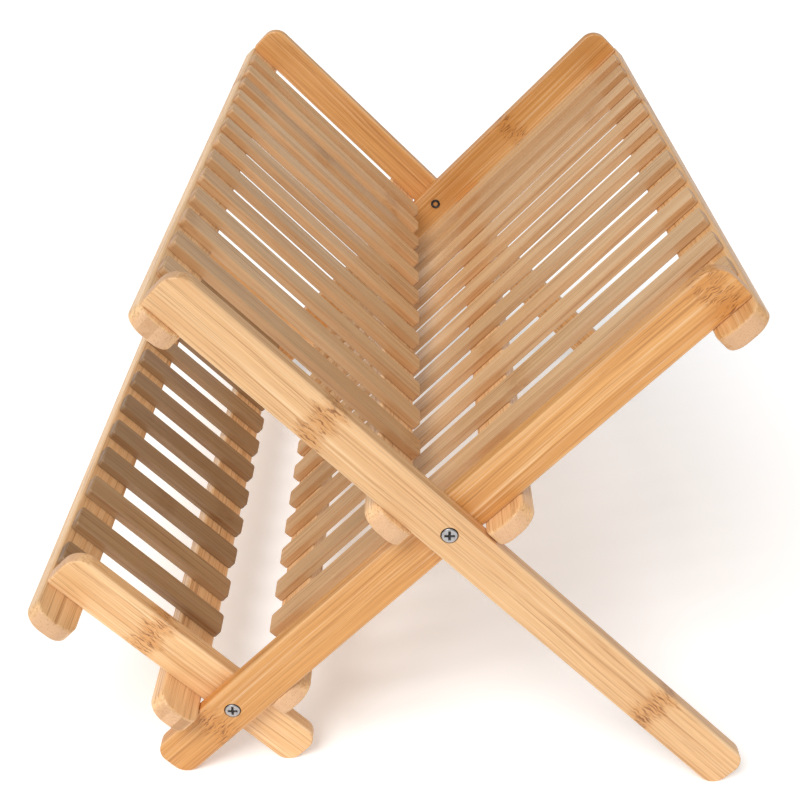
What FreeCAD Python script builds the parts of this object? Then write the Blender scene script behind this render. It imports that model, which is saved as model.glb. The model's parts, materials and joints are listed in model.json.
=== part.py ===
import FreeCAD, Part
import math
import os
import Sketcher

# Folding two-tier dish drying rack, in millimetres, +Z up, +Y towards the back.
#
# Three slatted panels lean at 45 degrees and cross each other square:
#   main panel   from the left-hand feet up to the right,
#   long panel   from the right-hand feet up to the left, one layer further out,
#   short panel  parallel to the long one, across the main panel's lower half, one layer in.
# The long and short panels turn on screws through the main panel's rails. The origin is on the
# floor, at the middle of the rack's box.
#
# Every panel is laid out in the same frame, at its own pivot: X runs up its rails, Z points into
# the dish space, and the rails' middles lie at Z = 0. The crossbars are glued under the rails,
# and the slats lie on the crossbars.

SIZES = [
    # Rack
    ("rack_depth", 420.0, "over the outer faces of the long panel's rails"),
    ("pivot_spacing", 130.0, "main pivot to lower pivot, along the main rails"),
    ("leg_length", 171.0, "main pivot to the foot ends of the long and main rails"),
    ("long_reach", 150.0, "main pivot to the top ends of the long rails"),
    ("main_reach", 147.5, "main pivot to the top ends of the main rails"),
    ("short_reach", 95.5, "lower pivot to the top ends of the short rails"),
    # Rails
    ("rail_width", 19.7, "rail, square to the panel"),
    ("rail_thickness", 7.2, "rail, along the depth"),
    ("foot_corner", 7.0, "radius of a rail's corners at its foot"),
    ("top_corner", 9.0, "radius of a rail's top corner towards the dishes"),
    ("glued_corner", 2.0, "radius of a rail's top corner beside the crossbar"),
    ("rail_rim", 0.9, "rounding of a rail's edges"),
    ("layer_gap", 0.6, "between rails that pass each other"),
    ("foot_flat", 0.2, "sanded off the lowest corner, so that the foot stands flat"),
    # Crossbars
    ("bar_width", 20.0, "crossbar, along the rails"),
    ("bar_thickness", 8.0, "crossbar, square to the panel"),
    ("bar_corner", 8.0, "radius of a crossbar's end corners"),
    ("bar_rim", 1.2, "rounding of a crossbar's edges"),
    ("bar_overhang", 3.5, "crossbar beyond the outermost rails, each end"),
    ("stop_gap", 0.15, "crossbar to the rail that it rests on when open"),
    # Slats
    ("slat_width", 14.0, "slat, along the depth"),
    ("slat_thickness", 4.5, "slat, square to the panel"),
    ("slat_corner", 1.5, "radius of a slat's end corners"),
    ("slat_rim", 0.7, "rounding of a slat's edges"),
    ("slat_end_gap", 8.0, "innermost rail to the first slat"),
    ("slat_setback", 1.0, "slat end to the top crossbar's outer edge"),
    ("slat_count", 13, "slats in each panel"),
    # Pivot screws and barrel nuts
    ("head_diameter", 6.8, "screw head"),
    ("head_height", 1.7, "screw head"),
    ("head_dome", 0.9, "rounding of the screw head's rim"),
    ("head_sink", 1.4, "depth of the counterbore round the head"),
    ("head_clearance", 0.3, "head to counterbore, radial"),
    ("recess_length", 3.8, "cross recess, tip to tip"),
    ("recess_width", 0.95, "cross recess, each arm"),
    ("recess_depth", 1.0, "cross recess"),
    ("shank_diameter", 3.0, "screw shank"),
    ("shank_setback", 0.8, "shank tip to the flange's outer face"),
    ("thread_clearance", 0.05, "shank to the barrel's bore, radial"),
    ("barrel_diameter", 4.4, "barrel of the nut"),
    ("flange_diameter", 5.8, "flange of the nut"),
    ("flange_height", 0.6, "flange of the nut"),
    ("held_clearance", 0.02, "barrel to the rail that holds it, radial"),
    ("turning_clearance", 0.08, "barrel to the rail that turns on it, radial"),
    ("side_play", 0.12, "turning rail to the head or flange beside it"),
]

LEAN = 45.0
TINY = 1e-6

size = {alias: value for alias, value, meaning in SIZES}
doc = FreeCAD.newDocument("DishRack")
sheet = doc.addObject("Spreadsheet::Sheet", "Sizes")
for row, (alias, value, meaning) in enumerate(SIZES, start=1):
    sheet.set(f"A{row}", meaning)
    sheet.set(f"B{row}", str(value))
    sheet.setAlias(f"B{row}", alias)
doc.recompute()

nodes = []


# ---------------------------------------------------------------- where things lie

def diagonal_reach(along, across, radius):
    """How far a rounded corner reaches from the pivot, midway between its two faces."""
    slant = math.sin(math.radians(LEAN))
    return (along + across - 2 * radius) * slant + radius


def rack_reaches():
    """The rack's reach to the left of the main pivot, to its right, and down to the floor."""
    outer = size["rail_width"] / 2 + size["bar_thickness"]
    below = size["pivot_spacing"] * math.cos(math.radians(LEAN))
    short_top = below + diagonal_reach(size["short_reach"], outer, size["bar_rim"])
    long_top = diagonal_reach(size["long_reach"], outer, size["bar_rim"])
    main_top = diagonal_reach(size["main_reach"], outer, size["bar_rim"])
    foot = diagonal_reach(size["leg_length"], size["rail_width"] / 2, size["foot_corner"])
    return max(short_top, long_top, foot), max(main_top, foot), foot - size["foot_flat"]


LEFT, RIGHT, DOWN = rack_reaches()
MAIN_PIVOT = FreeCAD.Vector((LEFT - RIGHT) / 2, 0, DOWN)
MAIN_TURN = FreeCAD.Rotation(FreeCAD.Vector(0, 1, 0), -LEAN)
LOWER_PIVOT = MAIN_PIVOT - MAIN_TURN.multVec(FreeCAD.Vector(size["pivot_spacing"], 0, 0))
LONG_TURN = FreeCAD.Rotation(FreeCAD.Vector(0, 1, 0), LEAN)
FACING_FRONT = FreeCAD.Rotation(FreeCAD.Vector(0, 0, 1), 180)


class Panel:
    """One slatted panel: where its pivot is, which way it leans and which layer it lies in."""

    def __init__(self, name, pivot, turn, back, layer, reach, leg):
        self.name = name
        self.frame = FreeCAD.Placement(pivot, turn)
        self.back = back
        self.reach = size[reach]
        self.reach_cell = "Sizes." + reach
        self.leg_cell = leg
        self.outer = size["rack_depth"] / 2 - layer * (size["rail_thickness"] + size["layer_gap"])
        self.inner = self.outer - size["rail_thickness"]

    def place(self, along, depth, out):
        """A placement in the rack, from a place along, towards the back of and out of the panel."""
        spot = FreeCAD.Vector(along, self.back * depth, out)
        return self.frame.multiply(FreeCAD.Placement(spot, FreeCAD.Rotation()))


MAIN = Panel("main", MAIN_PIVOT, MAIN_TURN, 1, 1, "main_reach", "Sizes.leg_length")
LONG = Panel("long", MAIN_PIVOT, LONG_TURN.multiply(FACING_FRONT), -1, 0, "long_reach",
             "Sizes.leg_length")
SHORT = Panel("short", LOWER_PIVOT, LONG_TURN.multiply(FACING_FRONT), -1, 2, "short_reach",
              "(Sizes.leg_length - Sizes.pivot_spacing)")

STOP = size["rail_width"] / 2 + size["stop_gap"]
FRONT, BACK = -1, 1
ALL_CORNERS = [(-1, -1), (-1, 1), (1, -1), (1, 1)]


# ---------------------------------------------------------------- modelling helpers

def new_body(label):
    """An empty body, whose label is the node's name."""
    body = doc.addObject("PartDesign::Body", "Body_" + label)
    body.Label = label
    return body


def origin_feature(body, role):
    """One of the body's own origin planes or axes, by its role."""
    return next(item for item in body.Origin.OriginFeatures if item.Role == role)


def new_sketch(body, name, plane):
    """A sketch on one of the body's own origin planes."""
    sketch = body.newObject("Sketcher::SketchObject", f"{name}_{body.Label}")
    sketch.AttachmentSupport = [(origin_feature(body, plane), "")]
    sketch.MapMode = "FlatFace"
    sketch.Visibility = False
    return sketch


def draw_loop(sketch, points):
    """A closed loop of lines, level or upright wherever the two points say so."""
    first = sketch.GeometryCount
    count = len(points)
    for index, point in enumerate(points):
        following = points[(index + 1) % count]
        line = Part.LineSegment(FreeCAD.Vector(*point, 0), FreeCAD.Vector(*following, 0))
        sketch.addGeometry(line, False)
        if point[1] == following[1]:
            sketch.addConstraint(Sketcher.Constraint("Horizontal", first + index))
        elif point[0] == following[0]:
            sketch.addConstraint(Sketcher.Constraint("Vertical", first + index))
    for index in range(count):
        joined = first + (index + 1) % count
        sketch.addConstraint(Sketcher.Constraint("Coincident", first + index, 2, joined, 1))


def dimension(sketch, kind, refs, start, expression):
    """Adds a dimension to a sketch and ties it to the sheet."""
    number = sketch.addConstraint(Sketcher.Constraint(kind, *refs, start))
    sketch.setExpression(f"Constraints[{number}]", expression)


def rectangle(sketch, behind, ahead, width):
    """A rectangle from behind to ahead of the origin along X, half its width to each side."""
    draw_loop(sketch, [(-5, -2), (5, -2), (5, 2), (-5, 2)])
    dimension(sketch, "DistanceX", (0, 1, -1, 1), 5.0, behind)
    dimension(sketch, "DistanceX", (-1, 1, 1, 1), 5.0, ahead)
    dimension(sketch, "DistanceY", (1, 1, -1, 1), 2.0, f"({width}) / 2")
    dimension(sketch, "DistanceY", (1, 1, 1, 2), 4.0, width)


def circle(sketch, behind, diameter):
    """A circle on the X axis, centred that far behind the origin."""
    sketch.addGeometry(Part.Circle(FreeCAD.Vector(-3, 0, 0), FreeCAD.Vector(0, 0, 1), 1), False)
    sketch.addConstraint(Sketcher.Constraint("PointOnObject", 0, 3, -1))
    dimension(sketch, "DistanceX", (0, 3, -1, 1), 3.0, behind)
    dimension(sketch, "Diameter", (0,), 2.0, diameter)


def pad_both_ways(body, sketch, length):
    """A pad, half of it to each side of the sketch."""
    feature = body.newObject("PartDesign::Pad", "Blank_" + body.Label)
    feature.Profile = sketch
    feature.SideType = "Symmetric"
    feature.setExpression("Length", length)
    doc.recompute()
    return feature


def pocket(body, name, sketch, depth=None, backwards=False):
    """A pocket, right through both ways or to a depth from the sketch's plane."""
    before = body.Shape.Volume
    feature = body.newObject("PartDesign::Pocket", f"{name}_{body.Label}")
    feature.Profile = sketch
    feature.Reversed = backwards
    if depth is None:
        feature.SideType = "Symmetric"
        feature.Type = "ThroughAll"
    else:
        feature.Type = "Length"
        feature.setExpression("Length", depth)
    doc.recompute()
    if body.Shape.Volume > before - TINY:
        raise RuntimeError(f"{feature.Name} cuts nothing")


def edge_names(shape, wanted):
    """Names of the edges that pass a test."""
    return [f"Edge{number}" for number, edge in enumerate(shape.Edges, start=1) if wanted(edge)]


def round_edges(body, name, base, wanted, radius):
    """A fillet on the edges that pass a test."""
    feature = body.newObject("PartDesign::Fillet", f"{name}_{body.Label}")
    feature.Base = (base, edge_names(base.Shape, wanted))
    feature.setExpression("Radius", radius)
    doc.recompute()
    return feature


def board(label, plane, behind, ahead, width, thickness, corners, rim):
    """A flat board with round end corners and softened edges, lying in the XY or XZ plane.

    corners lists names, the corners that share a radius, and the radius. A corner is a pair of
    signs: which end it is at, and which side.
    """
    body = new_body(label)
    outline = new_sketch(body, "Outline", plane)
    rectangle(outline, behind, ahead, width)
    shaped = pad_both_ways(body, outline, thickness)
    along, sideways, across = FreeCAD.Vector(1, 0, 0), FreeCAD.Vector(0, 1, 0), FreeCAD.Vector(0, 0, 1)
    if plane == "XZ_Plane":
        sideways, across = across, sideways
    box = shaped.Shape.BoundBox
    low = FreeCAD.Vector(box.XMin, box.YMin, box.ZMin)
    high = FreeCAD.Vector(box.XMax, box.YMax, box.ZMax)

    def at_limit(place, way, sign):
        limit = high if sign > 0 else low
        return abs((place - limit).dot(way)) < TINY

    def is_rim(edge):
        start = edge.valueAt(edge.FirstParameter)
        middle = edge.valueAt((edge.FirstParameter + edge.LastParameter) / 2)
        return abs((middle - start).dot(across)) < TINY

    for name, places, radius in corners:
        def is_corner(edge):
            middle = edge.valueAt((edge.FirstParameter + edge.LastParameter) / 2)
            return any(at_limit(middle, along, end) and at_limit(middle, sideways, side)
                       for end, side in places)

        shaped = round_edges(body, name, shaped, is_corner, radius)
    round_edges(body, "Rims", shaped, is_rim, rim)
    return body


# ---------------------------------------------------------------- rails

RAIL_CORNERS = [("FootCorners", [(-1, -1), (-1, 1)], "Sizes.foot_corner"),
                ("TopCorner", [(1, 1)], "Sizes.top_corner"),
                ("GluedCorner", [(1, -1)], "Sizes.glued_corner")]


def level_foot(body, leg):
    """Cuts the rail's lowest corner level, so that the foot stands flat on the floor."""
    sketch = new_sketch(body, "Foot", "XZ_Plane")
    draw_loop(sketch, [(-9, -6), (-5, -6), (-9, -2)])
    side = "2 * Sizes.foot_corner - sqrt(2) * (Sizes.foot_corner - Sizes.foot_flat)"
    dimension(sketch, "DistanceX", (0, 1, -1, 1), 9.0, leg)
    dimension(sketch, "DistanceY", (0, 1, -1, 1), 6.0, "Sizes.rail_width / 2")
    dimension(sketch, "DistanceX", (0, 1, 0, 2), 4.0, side)
    dimension(sketch, "DistanceY", (2, 2, 2, 1), 4.0, side)
    pocket(body, "FootFlat", sketch)


def pivot_hole(body, name, behind, clearance):
    """A hole for a barrel nut, right through the rail."""
    sketch = new_sketch(body, name, "XZ_Plane")
    circle(sketch, behind, f"Sizes.barrel_diameter + 2 * Sizes.{clearance}")
    pocket(body, "Bore" + name, sketch)


def head_counterbore(body, behind, side):
    """A counterbore for a screw head, in the rail's face towards that side of its own Y axis."""
    sketch = new_sketch(body, "Counterbore", "XZ_Plane")
    circle(sketch, behind, "Sizes.head_diameter + 2 * Sizes.head_clearance")
    sketch.setExpression("AttachmentOffset.Base.z", f"{-side} * Sizes.rail_thickness / 2")
    pocket(body, "HeadSeat", sketch, "Sizes.head_sink", side > 0)


def rails(panel, holes, head_at):
    """The panel's two side rails, with their pivot holes and level feet.

    holes lists each hole's distance behind the pivot and its clearance, and head_at is the
    distance behind the pivot of the screw head's counterbore, or None.
    """
    for word, end in (("front", FRONT), ("back", BACK)):
        body = board(f"{panel.name}_rail_{word}", "XZ_Plane", panel.leg_cell, panel.reach_cell,
                     "Sizes.rail_width", "Sizes.rail_thickness", RAIL_CORNERS,
                     "Sizes.rail_rim")
        level_foot(body, panel.leg_cell)
        for name, behind, clearance in holes:
            pivot_hole(body, name, behind, clearance)
        if head_at is not None:
            head_counterbore(body, head_at, end * panel.back)
        body.Placement = panel.place(0, end * (panel.outer + panel.inner) / 2, 0)
        nodes.append(body)


# ---------------------------------------------------------------- crossbars and slats

def crossbar(panel, word, lower_edge, length):
    """A crossbar under the rails, from its lower edge's distance above the pivot."""
    half = "Sizes.bar_width / 2"
    body = board(f"{panel.name}_bar_{word}", "XY_Plane", half, half, length,
                 "Sizes.bar_thickness", [("Corners", ALL_CORNERS, "Sizes.bar_corner")],
                 "Sizes.bar_rim")
    out = -(size["rail_width"] + size["bar_thickness"]) / 2
    body.Placement = panel.place(lower_edge + size["bar_width"] / 2, 0, out)
    nodes.append(body)


def slats(panel, lower_end, lower_end_cells):
    """The panel's row of slats, lying on its crossbars from the lowest one to the top one."""
    count = size["slat_count"]
    upper_end = panel.reach - size["slat_setback"]
    half = f"({panel.reach_cell} - Sizes.slat_setback - ({lower_end_cells})) / 2"
    last = SHORT.inner - size["slat_end_gap"] - size["slat_width"] / 2
    pitch = 2 * last / (count - 1)
    out = (size["slat_thickness"] - size["rail_width"]) / 2
    for number in range(count):
        body = board(f"{panel.name}_slat_{number + 1:02d}", "XY_Plane", half, half,
                     "Sizes.slat_width", "Sizes.slat_thickness",
                     [("Corners", ALL_CORNERS, "Sizes.slat_corner")], "Sizes.slat_rim")
        body.Placement = panel.place((upper_end + lower_end) / 2, number * pitch - last, out)
        nodes.append(body)


# ---------------------------------------------------------------- pivot hardware

def stud(body, name, diameter, length, inward):
    """Adds a round pad on the XY plane, towards -Z if it points inward."""
    sketch = new_sketch(body, name + "Circle", "XY_Plane")
    circle(sketch, "0", diameter)
    feature = body.newObject("PartDesign::Pad", f"{name}_{body.Label}")
    feature.Profile = sketch
    feature.Reversed = inward
    feature.setExpression("Length", length)
    doc.recompute()
    return feature


def pair(body, label):
    """The front piece and its mirror image at the back, as one node."""
    twin = doc.addObject("Part::Mirroring", "Twin_" + label)
    twin.Source = body
    twin.Normal = FreeCAD.Vector(0, 1, 0)
    both = doc.addObject("Part::Compound", "Pair_" + label)
    both.Links = [body, twin]
    both.Label = label
    doc.recompute()
    nodes.append(both)


def screws(label, pivot, seat):
    """Pan head screws with a cross recess; seat is the depth of the heads' undersides."""
    body = new_body("front_" + label)
    head = stud(body, "Head", "Sizes.head_diameter", "Sizes.head_height", False)

    def is_top(edge):
        return edge.BoundBox.ZMin > size["head_height"] - TINY

    round_edges(body, "Dome", head, is_top, "Sizes.head_dome")
    arm = ("Sizes.recess_length / 2", "Sizes.recess_width")
    crossing = ("Sizes.recess_width / 2", "Sizes.recess_length")
    for name, (half, width) in (("Arm", arm), ("Crossing", crossing)):
        sketch = new_sketch(body, "Recess" + name, "XY_Plane")
        rectangle(sketch, half, half, width)
        sketch.setExpression("AttachmentOffset.Base.z", "Sizes.head_height")
        pocket(body, name, sketch, "Sizes.recess_depth")
    stud(body, "Shank", "Sizes.shank_diameter",
         f"{BARREL_CELLS} + Sizes.flange_height - Sizes.shank_setback", True)
    body.Placement = FreeCAD.Placement(FreeCAD.Vector(pivot.x, -seat, pivot.z), OUTWARD)
    pair(body, label)


def barrel_nuts(label, pivot, seat):
    """Flanged barrel nuts; seat is the depth of the flanges' faces towards the rails."""
    body = new_body("front_" + label)
    stud(body, "Flange", "Sizes.flange_diameter", "Sizes.flange_height", True)
    stud(body, "Barrel", "Sizes.barrel_diameter", BARREL_CELLS, False)
    bore = new_sketch(body, "BoreCircle", "XY_Plane")
    circle(bore, "0", "Sizes.shank_diameter + 2 * Sizes.thread_clearance")
    pocket(body, "Bore", bore)
    body.Placement = FreeCAD.Placement(FreeCAD.Vector(pivot.x, -seat, pivot.z), OUTWARD)
    pair(body, label)


# ---------------------------------------------------------------- the rack

STOP_CELLS = "Sizes.rail_width / 2 + Sizes.stop_gap"
FULL_LENGTH = "Sizes.rack_depth + 2 * Sizes.bar_overhang"
BETWEEN_LONG_RAILS = "Sizes.rack_depth - 2 * (Sizes.rail_thickness + Sizes.layer_gap)"
BARREL_CELLS = "2 * Sizes.rail_thickness + Sizes.layer_gap - Sizes.head_sink + Sizes.side_play"
OUTWARD = FreeCAD.Rotation(FreeCAD.Vector(1, 0, 0), 90)

rails(MAIN, [("Upper", "0", "held_clearance"),
             ("Lower", "Sizes.pivot_spacing", "held_clearance")], "Sizes.pivot_spacing")
crossbar(MAIN, "top", MAIN.reach - size["bar_width"], FULL_LENGTH)
crossbar(MAIN, "mid", STOP, FULL_LENGTH)
crossbar(MAIN, "low", STOP - size["pivot_spacing"], BETWEEN_LONG_RAILS)
slats(MAIN, STOP - size["pivot_spacing"], STOP_CELLS + " - Sizes.pivot_spacing")

rails(LONG, [("Upper", "0", "turning_clearance")], "0")
crossbar(LONG, "top", LONG.reach - size["bar_width"], FULL_LENGTH)
crossbar(LONG, "low", STOP, FULL_LENGTH)
slats(LONG, STOP, STOP_CELLS)

rails(SHORT, [("Lower", "0", "turning_clearance")], None)
crossbar(SHORT, "top", SHORT.reach - size["bar_width"], FULL_LENGTH)
crossbar(SHORT, "low", STOP, FULL_LENGTH)
slats(SHORT, STOP, STOP_CELLS)

screws("upper_screws", MAIN_PIVOT, LONG.outer - size["head_sink"] + size["side_play"])
barrel_nuts("upper_nuts", MAIN_PIVOT, MAIN.inner)
screws("lower_screws", LOWER_PIVOT, MAIN.outer - size["head_sink"])
barrel_nuts("lower_nuts", LOWER_PIVOT, SHORT.inner - size["side_play"])


# ---------------------------------------------------------------- checks and export

doc.recompute()
for item in doc.Objects:
    if "Invalid" in item.State or "Error" in item.State:
        raise RuntimeError(f"{item.Name} failed: {item.State}")
for node in nodes:
    if node.Shape.isNull() or not node.Shape.isValid():
        raise RuntimeError(f"{node.Label} has no valid shape")

os.makedirs("parts", exist_ok=True)
for node in nodes:
    node.Shape.exportStep(f"parts/{node.Label}.step")
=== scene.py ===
"""Folding two-tier bamboo dish rack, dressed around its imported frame.

Every board is cut again as a finished bamboo board with rounded ends and softened edges, and every
pivot screw and barrel nut as a turned steel piece. Sizes and places come from the frame.
"""
import json
import logging
import math
import random
from dataclasses import dataclass, field
from enum import Enum
from typing import Any, Dict, List, Optional, Sequence, Tuple, Union

import bmesh
import bpy
from mathutils import Matrix, Vector


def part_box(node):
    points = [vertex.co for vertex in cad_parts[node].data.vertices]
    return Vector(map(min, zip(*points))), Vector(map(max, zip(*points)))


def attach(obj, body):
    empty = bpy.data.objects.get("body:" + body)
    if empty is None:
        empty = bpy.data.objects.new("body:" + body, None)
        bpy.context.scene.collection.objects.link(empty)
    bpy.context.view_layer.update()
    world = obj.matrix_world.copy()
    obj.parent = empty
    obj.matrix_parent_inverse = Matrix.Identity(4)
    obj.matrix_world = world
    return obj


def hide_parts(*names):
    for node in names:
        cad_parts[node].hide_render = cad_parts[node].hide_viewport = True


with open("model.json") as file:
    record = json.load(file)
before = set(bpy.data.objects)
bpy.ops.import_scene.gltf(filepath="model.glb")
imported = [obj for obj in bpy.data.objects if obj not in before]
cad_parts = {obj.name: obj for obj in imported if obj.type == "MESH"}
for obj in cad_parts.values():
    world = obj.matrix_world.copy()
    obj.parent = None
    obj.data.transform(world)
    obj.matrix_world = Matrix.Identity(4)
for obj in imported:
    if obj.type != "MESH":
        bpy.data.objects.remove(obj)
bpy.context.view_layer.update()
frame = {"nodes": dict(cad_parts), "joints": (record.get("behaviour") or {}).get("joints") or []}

log = logging.getLogger("dish_rack")

Number = Union[int, float]
MM = 0.001
NEAR = 1e-6
FAR_AWAY = 9.0
GRAIN_SEED = 20


# ------------------------------------------------------------------ shader bench

class Wire:
    """One socket's value in a node tree, with arithmetic that adds Math nodes."""

    def __init__(self, bench: "Bench", socket: bpy.types.NodeSocket) -> None:
        """Keeps the tree and the socket."""
        self.bench = bench
        self.socket = socket

    def _math(self, operation: str, *values: Any) -> "Wire":
        """Adds one Math node.

        Args:
            operation: the Math node's operation.
            values: its inputs, in order.

        Returns:
            The node's output.
        """
        return self.bench.add("ShaderNodeMath", {"operation": operation}, dict(enumerate(values)))

    def __add__(self, other: Any) -> "Wire":
        """Sum."""
        return self._math("ADD", self, other)

    __radd__ = __add__

    def __sub__(self, other: Any) -> "Wire":
        """Difference."""
        return self._math("SUBTRACT", self, other)

    def __rsub__(self, other: Any) -> "Wire":
        """Difference, the other way round."""
        return self._math("SUBTRACT", other, self)

    def __mul__(self, other: Any) -> "Wire":
        """Product."""
        return self._math("MULTIPLY", self, other)

    __rmul__ = __mul__

    def __truediv__(self, other: Any) -> "Wire":
        """Quotient."""
        return self._math("DIVIDE", self, other)

    def __rtruediv__(self, other: Any) -> "Wire":
        """Quotient, the other way round."""
        return self._math("DIVIDE", other, self)

    def __abs__(self) -> "Wire":
        """Size without sign."""
        return self._math("ABSOLUTE", self)

    def power(self, exponent: Number) -> "Wire":
        """Raised to a power."""
        return self._math("POWER", self, exponent)

    def greater(self, other: Any) -> "Wire":
        """The larger of two values."""
        return self._math("MAXIMUM", self, other)

    def ramp(self, low: Number, high: Number, start: Number = 0.0, end: Number = 1.0) -> "Wire":
        """Smooth step from start to end as the value goes from low to high.

        Args:
            low: value where the step begins.
            high: value where it ends.
            start: result at low.
            end: result at high.

        Returns:
            The stepped value.
        """
        return self.bench.add(
            "ShaderNodeMapRange", {"interpolation_type": "SMOOTHSTEP"},
            {"Value": self, "From Min": low, "From Max": high, "To Min": start, "To Max": end})


class Bench:
    """A material's node tree, and the few ways in which nodes are added to it."""

    def __init__(self, name: str) -> None:
        """Starts an empty material with an output."""
        self.material = bpy.data.materials.new(name)
        self.material.use_nodes = True
        self.tree = self.material.node_tree
        self.tree.nodes.clear()
        self.output = self.tree.nodes.new("ShaderNodeOutputMaterial")

    def add(self, kind: str, settings: Optional[Dict[str, Any]] = None,
            inputs: Optional[Dict[Union[str, int], Any]] = None,
            out: Union[str, int] = 0) -> Wire:
        """Adds a node.

        Args:
            kind: the node's type.
            settings: properties, set before any socket.
            inputs: socket names or numbers, with the values or links they take.
            out: the output that is returned.

        Returns:
            The chosen output.
        """
        node = self.tree.nodes.new(kind)
        for key, value in (settings or {}).items():
            setattr(node, key, value)
        for key, value in (inputs or {}).items():
            if isinstance(value, Wire):
                self.tree.links.new(value.socket, node.inputs[key])
            else:
                node.inputs[key].default_value = value
        return Wire(self, node.outputs[out])

    def stored(self, name: str, out: str = "Vector") -> Wire:
        """Reads a piece's own attribute."""
        return self.add("ShaderNodeAttribute", {"attribute_name": name}, out=out)

    def split(self, vector: Wire) -> Tuple[Wire, Wire, Wire]:
        """Takes a vector apart into X, Y and Z."""
        node = self.tree.nodes.new("ShaderNodeSeparateXYZ")
        self.tree.links.new(vector.socket, node.inputs[0])
        return tuple(Wire(self, output) for output in node.outputs)

    def join(self, x: Any, y: Any, z: Any) -> Wire:
        """Puts a vector together."""
        return self.add("ShaderNodeCombineXYZ", inputs={0: x, 1: y, 2: z})

    def noise(self, place: Wire, scale: Number, detail: Number = 2.0,
              roughness: Number = 0.5) -> Wire:
        """Noise at a place, about 0.5 on average."""
        return self.add("ShaderNodeTexNoise", {"noise_dimensions": "3D"},
                        {"Vector": place, "Scale": scale, "Detail": detail,
                         "Roughness": roughness}, out="Fac")

    def blend(self, factor: Any, first: Any, second: Any, how: str = "MIX") -> Wire:
        """Mixes two colours.

        Args:
            factor: how much of the second.
            first: colour or link.
            second: colour or link.
            how: the blend type.

        Returns:
            The mixed colour.
        """
        node = self.tree.nodes.new("ShaderNodeMix")
        node.data_type = "RGBA"
        node.blend_type = how
        node.clamp_factor = True
        by_place = {0: factor, 6: first, 7: second}
        for place, value in by_place.items():
            if isinstance(value, Wire):
                self.tree.links.new(value.socket, node.inputs[place])
            elif place == 0:
                node.inputs[place].default_value = value
            else:
                node.inputs[place].default_value = (*value[:3], 1.0)
        return Wire(self, node.outputs[2])

    def surface(self, constants: Dict[str, Any], varying: Dict[str, Wire]) -> bpy.types.Material:
        """Finishes the material with one Principled shader.

        Args:
            constants: values set on the shader's own sockets.
            varying: links into the sockets that change over the surface.

        Returns:
            The finished material.
        """
        shader = self.tree.nodes.new("ShaderNodeBsdfPrincipled")
        for key, value in constants.items():
            shader.inputs[key].default_value = value
        for key, wire in varying.items():
            self.tree.links.new(wire.socket, shader.inputs[key])
        self.tree.links.new(shader.outputs[0], self.output.inputs["Surface"])
        return self.material


def paint(red: int, green: int, blue: int) -> Tuple[float, float, float]:
    """A linear colour from display values of 0 to 255."""
    def linear(channel: int) -> float:
        part = channel / 255
        return part / 12.92 if part <= 0.04045 else ((part + 0.055) / 1.055) ** 2.4
    return linear(red), linear(green), linear(blue)


# ------------------------------------------------------------------ finishes

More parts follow.
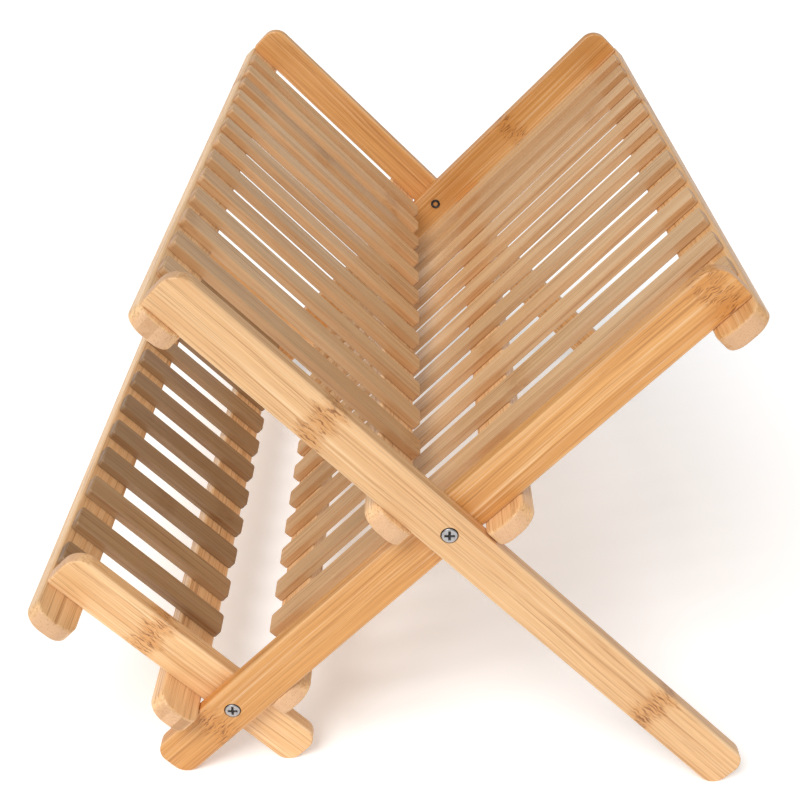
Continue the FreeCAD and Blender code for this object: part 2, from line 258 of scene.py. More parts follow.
@dataclass(frozen=True)
class BambooFinish:
    """Satin-sealed laminated bamboo: strips glued side by side, fibres, knuckles and end grain, with
    a painted highlight along the rounded edges and painted shade on the slats' front and back faces.

    The finenesses are streaks in a metre across the grain.
    """

    light: Tuple[float, float, float] = paint(246, 206, 156)
    honey: Tuple[float, float, float] = paint(222, 171, 116)
    warm_light: Tuple[float, float, float] = paint(222, 162, 92)
    warm_honey: Tuple[float, float, float] = paint(194, 128, 60)
    fibre: Tuple[float, float, float] = paint(160, 102, 52)
    pale: Tuple[float, float, float] = paint(246, 220, 182)
    end_pale: Tuple[float, float, float] = paint(216, 172, 132)
    end_brown: Tuple[float, float, float] = paint(176, 128, 84)
    knuckle: Tuple[float, float, float] = paint(134, 78, 34)
    knuckle_glow: Tuple[float, float, float] = paint(205, 138, 66)
    side_shade_brown: Tuple[float, float, float] = paint(178, 122, 72)
    strip_width: float = 5.2 * MM
    knuckle_reach: float = 9.0 * MM
    knuckle_ragged: float = 20.0 * MM
    knuckle_swirl: float = 3.0 * MM
    grain_wander: float = 3.5 * MM
    depth_wander: float = 2.0 * MM
    band_fineness: float = 330
    line_fineness: float = 900
    knuckle_fineness: float = 1500
    fibre_fineness: float = 1900
    dash_fineness: float = 2300
    edge_highlight_reach: float = 1.4 * MM
    side_shade_reach: float = 0.9 * MM
    tone_step: float = 0.14
    roughness: float = 0.44

    def make(self) -> bpy.types.Material:
        """Builds the material.

        Returns:
            The bamboo material, reading each board's own attributes.
        """
        bench = Bench("bamboo")
        along, across, through = bench.split(bench.stored("grain"))
        knuckle_strength, half_across, half_through = bench.split(bench.stored("half"))
        tone, warmth, seed = bench.split(bench.stored("piece"))
        knuckles = bench.split(bench.stored("knuckles"))

        wander = bench.noise(bench.join(along * 9 + seed * 31, across * 20, through * 20), 1.0, 2.0)
        near = self._knuckle_zone(bench, knuckles, across, through, seed) * knuckle_strength
        swirl = bench.noise(bench.join(along * 190, across * 190 + seed * 7, through * 190), 1.0, 2.0)
        bent_across = (across + (wander - 0.5) * self.grain_wander
                       + (swirl - 0.5) * near * self.knuckle_swirl)
        bent_through = through + (wander - 0.5) * self.depth_wander

        strips = self._strips(bench, bent_across, seed)
        bands = self._streak(bench, along * 5 + seed * 13, bent_across, bent_through,
                             self.band_fineness, 3.0)
        lines = self._streak(bench, along * 7 + seed * 23, bent_across, bent_through,
                             self.line_fineness, 4.0)
        fine = self._streak(bench, along * 18 + seed * 5, bent_across, bent_through,
                            self.fibre_fineness, 3.0)
        dashes = self._streak(bench, along * 70 + seed * 3, bent_across, bent_through,
                              self.dash_fineness, 2.0)
        blotch = bench.noise(bench.join(along * 14 + seed * 17, across * 40, through * 40), 1.0, 2.0)

        mixed = bands.ramp(0.30, 0.72) * 0.5 + strips * 0.3 + (blotch - 0.5) * 0.6
        cool = bench.blend(mixed, self.light, self.honey)
        warm = bench.blend(mixed, self.warm_light, self.warm_honey)
        colour = bench.blend(warmth, cool, warm)
        colour = bench.blend(lines.ramp(0.53, 0.68) * 0.55, colour, self.fibre)
        colour = bench.blend(fine.ramp(0.52, 0.70) * 0.48, colour, self.fibre)
        colour = bench.blend(lines.ramp(0.46, 0.30) * 0.40, colour, self.pale)
        colour = bench.blend(dashes.ramp(0.64, 0.74) * 0.42, colour, self.fibre)

        marks = self._streak(bench, along * 210 + seed * 41, bent_across, bent_through,
                             self.knuckle_fineness, 3.0)
        colour = bench.blend(near * 0.55, colour, self.knuckle_glow)
        colour = bench.blend(near * marks.ramp(0.50, 0.62) * 0.85, colour, self.knuckle)

        endness = self._endness(bench)
        colour = bench.blend(endness * 0.9, colour, self._ends(bench, across, through, strips, seed))
        # Painted highlight: the rounded long edges are blended towards pale, standing in for the soft
        # bright lines of light along them.
        rim = ((half_across - abs(across)).greater(0.0)
               + (half_through - abs(through)).greater(0.0)).ramp(self.edge_highlight_reach, 0.2 * MM)
        colour = bench.blend(rim * 0.28, colour, self.pale)
        # Painted shade: the slats' front and back faces, which face their neighbours, are blended
        # towards a darker brown; rails, at full knuckle strength, get none of it.
        side = (half_across - abs(across)).ramp(self.side_shade_reach, 0.2 * MM)
        side_shade_share = 1.0 - knuckle_strength
        colour = bench.blend(side * side_shade_share * 0.8, colour, self.side_shade_brown)
        # Tone darkens or lightens the whole board; on the short panel's slats it is mostly painted
        # shade from the upper tier.
        lift = tone * self.tone_step + 1.0
        colour = bench.blend(1.0, colour, bench.join(lift, lift, lift), "MULTIPLY")

        rough = self.roughness + (bands - 0.5) * 0.16 + endness * 0.2 + (fine - 0.5) * 0.12
        height = lines * 0.6 + fine * 0.4 + dashes.ramp(0.74, 0.60) * 0.6 - near * marks * 0.8
        bump = bench.add("ShaderNodeBump", {},
                         {"Strength": 0.18, "Distance": 0.0006, "Height": height})
        return bench.surface(
            {"Coat Weight": 0.15, "Coat Roughness": 0.25, "IOR": 1.47},
            {"Base Color": colour, "Roughness": rough, "Normal": bump})

    def _streak(self, bench: Bench, run: Wire, across: Wire, through: Wire, fineness: Number,
                detail: Number) -> Wire:
        """Noise drawn out along the grain.

        Args:
            bench: the material's bench.
            run: place along the grain, already slowed down.
            across: place across the board, in metres.
            through: place through the board, in metres.
            fineness: streaks in a metre across the grain.
            detail: the noise's detail.

        Returns:
            The streaks, about 0.5 on average.
        """
        return bench.noise(bench.join(run, across * fineness, through * fineness), 1.0, detail, 0.6)

    def _knuckle_zone(self, bench: Bench, offsets: Sequence[Wire], across: Wire, through: Wire,
                      seed: Wire) -> Wire:
        """How near the surface is to a knuckle, with a ragged edge, from 0 to 1."""
        ragged = bench.noise(bench.join(seed * 11, across * 260, through * 260), 1.0, 3.0, 0.7)
        shift = (ragged - 0.5) * self.knuckle_ragged
        nearness = None
        for offset in offsets:
            single = abs(offset + shift).ramp(self.knuckle_reach, self.knuckle_reach * 0.2)
            nearness = single if nearness is None else nearness.greater(single)
        return nearness

    def _ends(self, bench: Bench, across: Wire, through: Wire, strips: Wire, seed: Wire) -> Wire:
        """End grain: each strip with its own tint, speckled with cut fibres."""
        dots = bench.noise(bench.join(seed * 9, across * 1700, through * 1700), 1.0, 2.0)
        cloud = bench.noise(bench.join(seed * 3, across * 300, through * 300), 1.0, 2.0)
        ends = bench.blend(strips.ramp(0.55, 0.95) * 0.8 + (cloud - 0.5) * 0.5,
                           self.end_pale, self.end_brown)
        return bench.blend(dots.ramp(0.50, 0.72) * 0.35, ends, self.fibre)

    def _strips(self, bench: Bench, across: Wire, seed: Wire) -> Wire:
        """A number from 0 to 1 of its own for each strip that the board is glued from."""
        strip = bench.add("ShaderNodeMath", {"operation": "FLOOR"},
                          {0: (across + seed * 0.01) / self.strip_width})
        piece = bench.add("ShaderNodeMath", {"operation": "FLOOR"}, {0: seed * 400})
        return bench.add("ShaderNodeTexWhiteNoise", {"noise_dimensions": "2D"},
                         {"Vector": bench.join(strip, piece, 0.0)}, out="Value")

    def _endness(self, bench: Bench) -> Wire:
        """1 where the surface is cut across the grain, 0 along it."""
        normal = bench.add("ShaderNodeTexCoord", out="Normal")
        facing = bench.add("ShaderNodeVectorMath", {"operation": "DOT_PRODUCT"},
                           {0: normal, 1: bench.stored("grain_way")}, out="Value")
        return abs(facing).ramp(0.5, 0.92)


@dataclass(frozen=True)
class SteelFinish:
    """Bright zinc-plated steel, brushed round by turning, with painted shade down in its recesses and
    round the head's rim.
    """

    bright: Tuple[float, float, float] = paint(184, 182, 182)
    smudge_and_recess_shade: Tuple[float, float, float] = paint(74, 70, 68)
    roughness: float = 0.30

    def make(self) -> bpy.types.Material:
        """Builds the material.

        Returns:
            The steel material, reading each piece's own attribute.
        """
        bench = Bench("pivot_steel")
        out_x, out_y, depth = bench.split(bench.stored("turning"))
        radius = (out_x * out_x + out_y * out_y).power(0.5)
        rings = bench.noise(bench.join(radius * 9000, 0.0, depth * 4000), 1.0, 2.0)
        smudge = bench.noise(bench.join(out_x * 700, out_y * 700, depth * 700), 1.0, 3.0)
        # Painted shade: darker wherever the surface lies deeper than the head's top, in the cross
        # recess and round the head's rim; also rougher there. The smudges are the steel's own marks.
        sunk = depth.ramp(-0.05 * MM, -0.45 * MM)
        colour = bench.blend(smudge.ramp(0.4, 0.75) * 0.35 + sunk * 0.95, self.bright, self.smudge_and_recess_shade)
        rough = self.roughness + (smudge - 0.5) * 0.25 + sunk * 0.25
        bump = bench.add("ShaderNodeBump", {},
                         {"Strength": 0.10, "Distance": 0.0002, "Height": rings})
        return bench.surface({"Metallic": 1.0},
                             {"Base Color": colour, "Roughness": rough, "Normal": bump})


@dataclass(frozen=True)
class FloorFinish:
    """Plain matt studio paper."""

    colour: Tuple[float, float, float] = (0.95, 0.95, 0.95)
    glow: float = 0.26

    def make(self) -> bpy.types.Material:
        """Builds the material."""
        bench = Bench("studio_paper")
        place = bench.add("ShaderNodeTexCoord", out="Object")
        speck = bench.noise(place, 3.0, 2.0)
        tint = bench.blend(speck * 0.02, self.colour, (0.9, 0.9, 0.9))
        return bench.surface({"Roughness": 0.9, "Emission Color": (1.0, 1.0, 1.0, 1.0),
                              "Emission Strength": self.glow}, {"Base Color": tint})


# ------------------------------------------------------------------ boards

class Cut(Enum):
    """How a board lies in its panel: its grain, its width and its thickness, in panel axes."""

    RAIL = (0, 2, 1)
    CROSSBAR = (1, 0, 2)
    SLAT = (0, 1, 2)


@dataclass(frozen=True)
class Softening:
    """How a board's corners and edges are rounded, in metres.

    A corner's key is which end it is at and which side, as signs.
    """

    corners: Dict[Tuple[int, int], float]
    rim: float
    corner_steps: int = 7
    rim_steps: int = 3


def same_corners(radius: float) -> Dict[Tuple[int, int], float]:
    """The same radius at all four corners."""
    return {(end, side): radius for end in (-1, 1) for side in (-1, 1)}


SOFTENINGS = {
    Cut.RAIL: Softening({(-1, -1): 7.1 * MM, (-1, 1): 7.1 * MM, (1, 1): 9.1 * MM, (1, -1): 2.0 * MM},
                        rim=0.9 * MM, corner_steps=10),
    Cut.CROSSBAR: Softening(same_corners(8.0 * MM), rim=1.25 * MM, corner_steps=10, rim_steps=4),
    Cut.SLAT: Softening(same_corners(1.5 * MM), rim=0.7 * MM, corner_steps=4),
}


def new_piece(name: str, bm: bmesh.types.BMesh, material: bpy.types.Material) -> bpy.types.Object:
    """Makes an object of a finished mesh, at the origin.

    Args:
        name: the piece's name.
        bm: its mesh, already in place. It is freed.
        material: its finish.

    Returns:
        The new object.
    """
    mesh = bpy.data.meshes.new(name)
    bm.to_mesh(mesh)
    bm.free()
    mesh.materials.append(material)
    piece = bpy.data.objects.new(name, mesh)
    bpy.context.scene.collection.objects.link(piece)
    return piece


@dataclass
class Board:
    """One finished board in place of its CAD node.

    Its tone makes it lighter or darker, its warmth more orange, and a seat is the X and Z of the
    screw that is sunk in it.
    """

    node: str
    cut: Cut
    axes: Matrix
    origin: Vector
    knuckles: Tuple[float, ...] = ()
    warmth: float = 0.0
    tone: float = 0.0
    knuckle_strength: float = 1.0
    seat: Optional[Tuple[float, float]] = None
    seat_radius: float = 3.7 * MM
    seat_depth: float = 1.4 * MM
    seat_at: Tuple[float, float] = (0.0, 0.0)

    def measure(self) -> Tuple[Vector, Vector]:
        """The CAD node's lowest and highest corner in the panel's own axes."""
        to_panel = self.axes.transposed()
        places = [to_panel @ (v.co - self.origin) for v in frame["nodes"][self.node].data.vertices]
        low = Vector(min(p[i] for p in places) for i in range(3))
        high = Vector(max(p[i] for p in places) for i in range(3))
        return low, high

    def build(self, material: bpy.types.Material, draw: random.Random) -> bpy.types.Object:
        """Cuts, rounds and places the board.

        Args:
            material: the bamboo finish.
            draw: the source of each board's own grain.

        Returns:
            The board's object.
        """
        low, high = self.measure()
        order = self.cut.value
        sizes = Vector(high[i] - low[i] for i in order)
        middle = self.axes @ ((low + high) / 2) + self.origin
        ways = Matrix([self.axes.col[i] for i in order]).transposed()
        soft = SOFTENINGS[self.cut]

        bm = bmesh.new()
        bmesh.ops.create_cube(bm, size=1.0)
        bmesh.ops.scale(bm, vec=sizes, verts=bm.verts)
        self._round_corners(bm, sizes, soft)
        if self.seat is not None:
            self._sink_seat(bm, middle, ways, sizes)
        face_edges = self._rim_edges(bm, sizes)
        bevelled = bmesh.ops.bevel(bm, geom=face_edges, offset=soft.rim, segments=soft.rim_steps,
                                   profile=0.5, affect="EDGES", material=-1)
        largest = max(soft.corners.values()) / 2
        for face in bm.faces:
            face.smooth = abs(face.normal.z) < 0.05 and face.calc_area() < largest * sizes.z
        for face in bevelled["faces"]:
            face.smooth = True
        self._store_grain(bm, sizes, low, high, ways, draw)
        turn = ways.to_4x4()
        bmesh.ops.transform(bm, matrix=Matrix.Translation(middle) @ turn, verts=bm.verts)
        if ways.determinant() < 0:
            bmesh.ops.reverse_faces(bm, faces=bm.faces)
        if self.cut is Cut.RAIL:
            self._level_foot(bm)
        return new_piece(f"board_{self.node}", bm, material)

    def _round_corners(self, bm: bmesh.types.BMesh, sizes: Vector, soft: Softening) -> None:
        """Rounds the outline's four corners, each with its own radius."""
        for (end, side), radius in soft.corners.items():
            corner = Vector((end * sizes.x / 2, side * sizes.y / 2))
            upright = [e for e in bm.edges
                       if all((v.co.xy - corner).length < NEAR for v in e.verts)]
            bmesh.ops.bevel(bm, geom=upright, offset=radius, segments=soft.corner_steps,
                            profile=0.5, affect="EDGES", material=-1)

    def _rim_edges(self, bm: bmesh.types.BMesh, sizes: Vector) -> List[bmesh.types.BMEdge]:
        """The outline edges of the board's two broad faces."""
        found = []
        for edge in bm.edges:
            a, b = edge.verts[0].co, edge.verts[1].co
            level = abs(a.z - b.z) < 1e-7 and abs(abs(a.z) - sizes.z / 2) < NEAR
            steep = [f for f in edge.link_faces if abs(f.normal.z) < 0.5]
            if level and len(steep) == 1 and abs(self._from_seat(edge)) > self.seat_radius * 1.05:
                found.append(edge)
        return found

    def _from_seat(self, edge: bmesh.types.BMEdge) -> float:
        """Distance from an edge's middle to the screw seat, or a long way where there is none."""
        if self.seat is None:
            return 1.0
        middle = (edge.verts[0].co + edge.verts[1].co) / 2
        return math.hypot(middle.x - self.seat_at[0], middle.y - self.seat_at[1])

    def _sink_seat(self, bm: bmesh.types.BMesh, middle: Vector, ways: Matrix, sizes: Vector) -> None:
        """Sinks the round seat that the screw's head sits in, in the rail's outward face."""
        local = ways.transposed() @ (Vector((self.seat[0], middle.y, self.seat[1])) - middle)
        outward = 1.0 if (ways.col[2].y > 0) == (middle.y > 0) else -1.0
        self.seat_at = (local.x, local.y)
        reach = self.seat_radius * 1.35
        for axis in (Vector((1, 0, 0)), Vector((0, 1, 0))):
            for side in (-1, 1):
                everything = bm.verts[:] + bm.edges[:] + bm.faces[:]
                spot = Vector((local.x, local.y, 0)) + axis * reach * side
                bmesh.ops.bisect_plane(bm, geom=everything, plane_co=spot, plane_no=axis)
        face = min((f for f in bm.faces if f.normal.z * outward > 0.5),
                   key=lambda f: (f.calc_center_median().xy - Vector(self.seat_at)).length)
        bmesh.ops.subdivide_edges(bm, edges=list(face.edges), cuts=7, use_grid_fill=False)
        face = min((f for f in bm.faces if f.normal.z * outward > 0.5),
                   key=lambda f: (f.calc_center_median().xy - Vector(self.seat_at)).length)
        bmesh.ops.inset_region(bm, faces=[face], thickness=reach * 0.15, depth=0.0)
        centre = Vector((local.x, local.y, 0))
        for vert in face.verts:
            spoke = Vector((vert.co.x, vert.co.y, 0)) - centre
            spoke = spoke.normalized() * self.seat_radius
            vert.co.x, vert.co.y = centre.x + spoke.x, centre.y + spoke.y
        bmesh.ops.inset_region(bm, faces=[face], thickness=0.02 * MM, depth=0.0)
        for vert in face.verts:
            vert.co.z -= outward * self.seat_depth

    def _store_grain(self, bm: bmesh.types.BMesh, sizes: Vector, low: Vector, high: Vector,
                     ways: Matrix, draw: random.Random) -> None:
        """Writes what the finish reads.

        "grain" is the place along, across and through the board. "half" is the knuckles' strength and
        half the width and thickness. "piece" is tone, warmth and seed. "knuckles" is the distance
        from each knuckle, and "grain_way" is the grain's direction.
        """
        grain = bm.verts.layers.float_vector.new("grain")
        half = bm.verts.layers.float_vector.new("half")
        piece = bm.verts.layers.float_vector.new("piece")
        marks = bm.verts.layers.float_vector.new("knuckles")
        way = bm.verts.layers.float_vector.new("grain_way")
        axis = self.cut.value[0]
        centre = (low[axis] + high[axis]) / 2
        tint = Vector((self.tone + draw.uniform(-0.5, 0.5), self.warmth + draw.uniform(-0.1, 0.25),
                       draw.random()))
        places = (list(self.knuckles) + [FAR_AWAY] * 3)[:3]
        for vert in bm.verts:
            vert[grain] = vert.co
            vert[half] = Vector((self.knuckle_strength, sizes.y / 2, sizes.z / 2))
            vert[piece] = tint
            vert[marks] = Vector(vert.co.x + centre - place for place in places)
            vert[way] = ways.col[0]

    def _level_foot(self, bm: bmesh.types.BMesh) -> None:
        """Cuts the rail level with the floor that it stands on."""
        everything = bm.verts[:] + bm.edges[:] + bm.faces[:]
        cut = bmesh.ops.bisect_plane(bm, geom=everything, plane_co=(0, 0, 0), plane_no=(0, 0, -1),
                                     clear_outer=True)
        edges = [e for e in cut["geom_cut"] if isinstance(e, bmesh.types.BMEdge)]
        if edges:
            bmesh.ops.contextual_create(bm, geom=edges)


@dataclass
class SlattedPanel:
    """One of the three panels: its rails, its crossbars and its row of slats.

    Warmth, knuckle places and screw seats are given by node.
    """

    body: str
    prefix: str
    pivot: Vector
    up: Vector
    out: Vector
    # How much darker the slats are made; the short panel's strong darkening is painted shade.
    slat_tone: float
    warmth: Dict[str, float] = field(default_factory=dict)
    knuckles: Dict[str, Tuple[float, ...]] = field(default_factory=dict)
    seats: Dict[str, Tuple[float, float]] = field(default_factory=dict)
    slat_knuckle_strength: float = 0.45
    knuckle_step: float = 0.55

    def kind(self, node: str) -> Cut:
        """Which sort of board a node is."""
        if "_rail_" in node:
            return Cut.RAIL
        return Cut.CROSSBAR if "_bar_" in node else Cut.SLAT

    def build(self, material: bpy.types.Material, draw: random.Random) -> List[bpy.types.Object]:
        """Makes all of the panel's boards.

        Args:
            material: the bamboo finish.
            draw: the source of each board's own grain.

        Returns:
            The boards.
        """
        axes = Matrix((self.up, Vector((0, 1, 0)), self.out)).transposed()
        pieces = []
        for node in sorted(n for n in frame["nodes"] if n.startswith(self.prefix + "_")):
            cut = self.kind(node)
            marks = self.knuckles.get(node) or self._random_knuckles(draw)
            slat = cut is Cut.SLAT
            board = Board(node, cut, axes, self.pivot, marks, self.warmth.get(node, 0.0),
                          tone=self.slat_tone if slat else 0.0,
                          knuckle_strength=self.slat_knuckle_strength if slat else 1.0,
                          seat=self.seats.get(node))
            piece = board.build(material, draw)
            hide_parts(node)
            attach(piece, self.body)
            pieces.append(piece)
            log.info("%s: %s, %d faces", piece.name, cut.name.lower(), len(piece.data.polygons))
        return pieces

    def _random_knuckles(self, draw: random.Random) -> Tuple[float, ...]:
        """Knuckles far apart along a culm, so that some boards have one and most have none."""
        start = draw.uniform(-self.knuckle_step, self.knuckle_step)
        return (start, start + self.knuckle_step, start - self.knuckle_step)


# ------------------------------------------------------------------ pivot hardware

@dataclass
class PivotHardware:
    """The cross-recess screws and flanged barrel nuts of one pivot, front and back."""

    screws: str
    nuts: str
    body: str
    pivot: Vector
    head_radius: float = 3.4 * MM
    head_height: float = 1.7 * MM
    dome: float = 0.9 * MM
    crown: float = 0.12 * MM
    recess_length: float = 4.6 * MM
    recess_width: float = 1.15 * MM
    recess_depth: float = 1.05 * MM
    recess_taper: float = 0.62
    shank_radius: float = 1.5 * MM
    flange_radius: float = 2.9 * MM
    barrel_radius: float = 2.2 * MM
    bore_radius: float = 1.55 * MM
    flange_height: float = 0.6 * MM
    tip: float = 0.3 * MM
    flange_soft: float = 0.2 * MM
    steps: int = 40

    def _turned(self, profile: Sequence[Tuple[float, float]]) -> bmesh.types.BMesh:
        """Spins a half section of (radius, height) points round the Z axis."""
        bm = bmesh.new()
        verts = [bm.verts.new((radius, 0, height)) for radius, height in profile]
        edges = [bm.edges.new(pair) for pair in zip(verts, verts[1:])]
        bmesh.ops.spin(bm, geom=verts + edges, cent=(0, 0, 0), axis=(0, 0, 1), angle=math.tau,
                       steps=self.steps, use_merge=True, use_duplicate=False)
        bmesh.ops.remove_doubles(bm, verts=bm.verts, dist=1e-7)
        bmesh.ops.recalc_face_normals(bm, faces=bm.faces)
        return bm

    def _screw(self, length: float) -> bmesh.types.BMesh:
        """A pan head with its cross recess, and its shank, with the underside at Z = 0."""
        edge = self.head_radius - self.dome
        arc = [(edge + self.dome * math.sin(a), self.head_height - self.dome * (1 - math.cos(a)))
               for a in (math.radians(10 * k) for k in range(0, 10))]
        profile = arc + [(self.head_radius, 0.0), (self.shank_radius, 0.0),
                         (self.shank_radius, -length + self.tip),
                         (self.shank_radius - self.tip, -length)]
        bm = self._turned(profile)
        rims = [e for e in bm.edges if e.is_boundary]
        for height in (self.head_height, -length):
            loop = [e for e in rims if abs(e.verts[0].co.z - height) < NEAR]
            bmesh.ops.contextual_create(bm, geom=loop)
        self._recess(bm)
        for vert in bm.verts:
            away = math.hypot(vert.co.x, vert.co.y)
            if vert.co.z > self.head_height - NEAR and away < edge:
                vert.co.z += self.crown * (1 - (away / edge) ** 2)
        bmesh.ops.recalc_face_normals(bm, faces=bm.faces)
        return bm

    def _recess(self, bm: bmesh.types.BMesh) -> None:
        """Sinks the tapered cross into the head's flat top."""
        top = max(bm.faces, key=lambda f: f.calc_center_median().z + f.calc_area())
        arm, half = self.recess_length / 2, self.recess_width / 2
        cuts = [(axis, side * reach) for axis in (0, 1) for reach in (half, arm) for side in (-1, 1)]
        for axis, reach in cuts:
            tops = [f for f in bm.faces if f.normal.z > 0.99
                    and abs(f.calc_center_median().z - self.head_height) < NEAR]
            geom = set(tops)
            for face in tops:
                geom.update(face.edges)
                geom.update(face.verts)
            normal = Vector((1, 0, 0)) if axis == 0 else Vector((0, 1, 0))
            bmesh.ops.bisect_plane(bm, geom=list(geom), plane_co=normal * reach, plane_no=normal)
        cross = []
        for face in bm.faces:
            middle = face.calc_center_median()
            x, y = abs(middle.x), abs(middle.y)
            on_top = face.normal.z > 0.99 and abs(middle.z - self.head_height) < NEAR
            if on_top and ((x < half and y < arm) or (y < half and x < arm)):
                cross.append(face)
        sunk = bmesh.ops.extrude_face_region(bm, geom=cross)
        bmesh.ops.delete(bm, geom=[f for f in cross if f.is_valid], context="FACES_ONLY")
        for vert in (item for item in sunk["geom"] if isinstance(item, bmesh.types.BMVert)):
            vert.co.z -= self.recess_depth
            vert.co.x *= self.recess_taper
            vert.co.y *= self.recess_taper

    def _nut(self, length: float) -> bmesh.types.BMesh:
        """A flanged barrel with its bore, with the flange's seat at Z = 0."""
        soft = self.flange_soft
        low = -self.flange_height
        profile = [(self.bore_radius, low), (self.flange_radius - soft, low),
                   (self.flange_radius - soft * 0.3, low + soft * 0.3),
                   (self.flange_radius, low + soft), (self.flange_radius, 0.0),
                   (self.barrel_radius, 0.0), (self.barrel_radius, length),
                   (self.bore_radius, length), (self.bore_radius, low)]
        return self._turned(profile)

    def _fit(self, bm: bmesh.types.BMesh, depth: float) -> bmesh.types.BMesh:
        """Turns a piece to face out of the front, sets it in place and adds its twin at the back."""
        turning = bm.verts.layers.float_vector.new("turning")
        for vert in bm.verts:
            vert[turning] = Vector((vert.co.x, vert.co.y, vert.co.z - self.head_height))
        place = Matrix.Translation((self.pivot.x, -depth, self.pivot.z))
        bmesh.ops.transform(bm, matrix=place @ Matrix.Rotation(math.radians(90), 4, "X"),
                            verts=bm.verts)
        twin = bmesh.ops.duplicate(bm, geom=bm.verts[:] + bm.edges[:] + bm.faces[:])["geom"]
        verts = [item for item in twin if isinstance(item, bmesh.types.BMVert)]
        faces = [item for item in twin if isinstance(item, bmesh.types.BMFace)]
        bmesh.ops.scale(bm, vec=(1, -1, 1), verts=verts)
        bmesh.ops.reverse_faces(bm, faces=faces)
        for face in bm.faces:
            face.smooth = len(face.verts) == 4
        return bm

    def build(self, material: bpy.types.Material) -> List[bpy.types.Object]:
        """Makes the pivot's screws and nuts from the places of their CAD nodes.

        Args:
            material: the steel finish.

        Returns:
            The screws' object and the nuts' object.
        """
        screw_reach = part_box(self.screws)[1].y
        inner = min(abs(v.co.y) for v in frame["nodes"][self.screws].data.vertices)
        nut_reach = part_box(self.nuts)[1].y
        flange = min(abs(v.co.y) for v in frame["nodes"][self.nuts].data.vertices)
        underside = screw_reach - self.head_height
        seat = flange + self.flange_height
        made = {
            self.screws: self._fit(self._screw(underside - inner), underside),
            self.nuts: self._fit(self._nut(nut_reach - seat), seat),
        }
        pieces = []
        for node, bm in made.items():
            piece = new_piece(f"steel_{node}", bm, material)
            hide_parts(node)
            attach(piece, self.body)
            pieces.append(piece)
            log.info("%s: %d faces", piece.name, len(piece.data.polygons))
        return pieces


# ------------------------------------------------------------------ studio

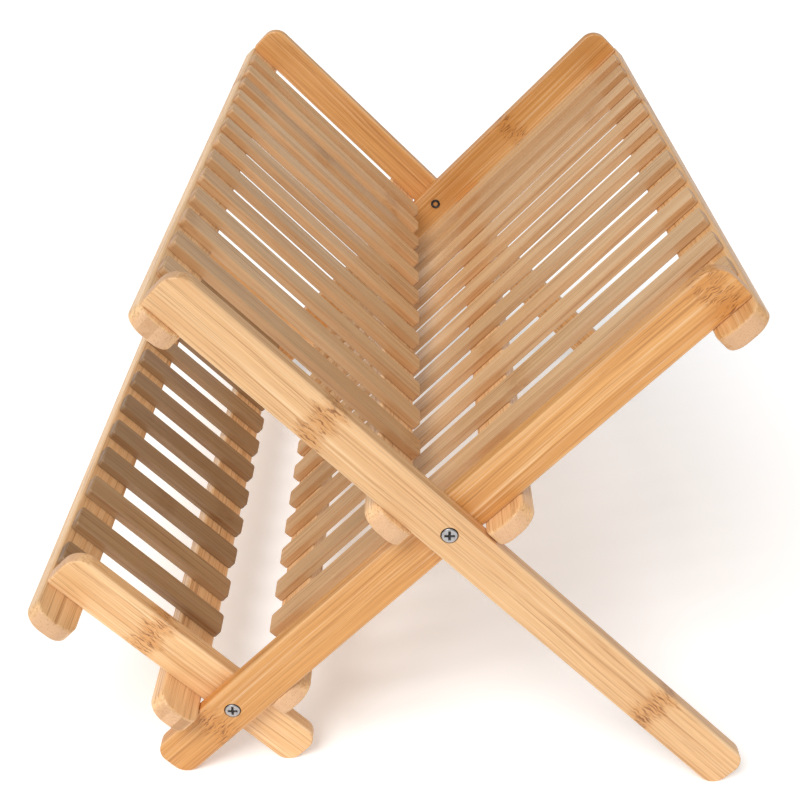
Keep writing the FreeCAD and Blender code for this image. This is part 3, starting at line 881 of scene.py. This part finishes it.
@dataclass
class Studio:
    """Pale floor, even sky, one broad soft light and the camera."""

    eye: Tuple[float, float, float] = (0.01104, -0.68799, 0.42166)
    pitch: float = 26.401
    yaw: float = -0.786
    roll: float = -0.67
    lens: float = 64.22
    sensor: float = 36.0
    light_from: Tuple[float, float, float] = (-0.30, -0.60, 0.74)
    light_strength: float = 2.2
    light_spread: float = 32.0
    sky: float = 0.42
    floor_reach: float = 40.0
    sight: float = 200.0

    def _floor(self) -> None:
        """Lays the floor."""
        bm = bmesh.new()
        bmesh.ops.create_grid(bm, x_segments=4, y_segments=4, size=self.floor_reach)
        floor = new_piece("floor", bm, FloorFinish().make())

    def _sky(self) -> None:
        """Even pale light from all round."""
        world = bpy.data.worlds.new("studio")
        world.use_nodes = True
        background = world.node_tree.nodes["Background"]
        background.inputs["Color"].default_value = (1.0, 1.0, 1.0, 1.0)
        background.inputs["Strength"].default_value = self.sky
        bpy.context.scene.world = world

    def _overhead(self) -> None:
        """Hangs one broad soft light, high up in front and to the left."""
        light = bpy.data.lights.new("overhead", "SUN")
        light.energy = self.light_strength
        light.angle = math.radians(self.light_spread)
        lamp = bpy.data.objects.new("overhead", light)
        lamp.rotation_euler = (-Vector(self.light_from)).to_track_quat("-Z", "Y").to_euler()
        bpy.context.scene.collection.objects.link(lamp)

    def _camera(self) -> None:
        """Sets up the camera from where it stands and how it is turned."""
        data = bpy.data.cameras.new("camera")
        data.lens = self.lens
        data.sensor_width = self.sensor
        data.clip_end = self.sight
        pitch, yaw, roll = (math.radians(a) for a in (self.pitch, self.yaw, self.roll))
        ahead = Vector((math.sin(yaw) * math.cos(pitch), math.cos(yaw) * math.cos(pitch),
                        -math.sin(pitch)))
        right = Vector((math.cos(yaw), -math.sin(yaw), 0.0))
        upward = right.cross(ahead)
        turned_right = right * math.cos(roll) + upward * math.sin(roll)
        turned_up = upward * math.cos(roll) - right * math.sin(roll)
        turn = Matrix((turned_right, turned_up, -ahead)).transposed().to_4x4()
        camera = bpy.data.objects.new("camera", data)
        camera.matrix_world = Matrix.Translation(self.eye) @ turn
        bpy.context.scene.collection.objects.link(camera)
        bpy.context.scene.camera = camera

    def build(self) -> None:
        """Sets up everything round the rack."""
        self._floor()
        self._sky()
        self._overhead()
        self._camera()
        bpy.context.scene.view_settings.view_transform = "Standard"


# ------------------------------------------------------------------ the rack

def joint_place(name: str) -> Vector:
    """Where a joint of the frame is."""
    return next(Vector(j["pos_m"]) for j in frame["joints"] if j["name"] == name)


def main() -> None:
    """Builds the rack and its studio, piece by piece."""
    logging.basicConfig(level=logging.INFO, format="%(message)s")
    draw = random.Random(GRAIN_SEED)
    bamboo = BambooFinish().make()
    steel = SteelFinish().make()
    upper, lower = joint_place("main_fold"), joint_place("lower_fold")
    slant = math.sqrt(0.5)
    up_right, up_left = Vector((slant, 0, slant)), Vector((-slant, 0, slant))
    upper_seat, lower_seat = (upper.x, upper.z), (lower.x, lower.z)

    panels = [
        SlattedPanel("main_panel", "main", upper, up_right, up_left, slat_tone=-1.2,
                     warmth={"main_rail_front": 1.0, "main_rail_back": 1.2, "main_bar_top": 0.5},
                     knuckles={"main_rail_front": (0.138, -0.142), "main_rail_back": (0.068,)},
                     seats={"main_rail_front": lower_seat, "main_rail_back": lower_seat}),
        SlattedPanel("long_panel", "long", upper, up_left, up_right, slat_tone=-1.0,
                     warmth={"long_rail_front": 0.15, "long_rail_back": 0.9},
                     knuckles={"long_rail_front": (0.070, -0.120), "long_rail_back": (-0.05,)},
                     seats={"long_rail_front": upper_seat, "long_rail_back": upper_seat}),
        # The short panel's slats are darkened far more than the others: painted shade from the upper
        # tier above them.
        SlattedPanel("short_panel", "short", lower, up_left, up_right, slat_tone=-3.8,
                     warmth={"short_rail_front": 0.25, "short_rail_back": 0.6},
                     knuckles={"short_rail_front": (0.047,)}),
    ]
    for panel in panels:
        boards = panel.build(bamboo, draw)
        log.info("%s: %d boards", panel.body, len(boards))
    for hardware in (PivotHardware("upper_screws", "upper_nuts", "main_panel", upper),
                     PivotHardware("lower_screws", "lower_nuts", "main_panel", lower)):
        hardware.build(steel)
    Studio().build()
    bpy.context.view_layer.update()


if __name__ == "__main__":
    main()
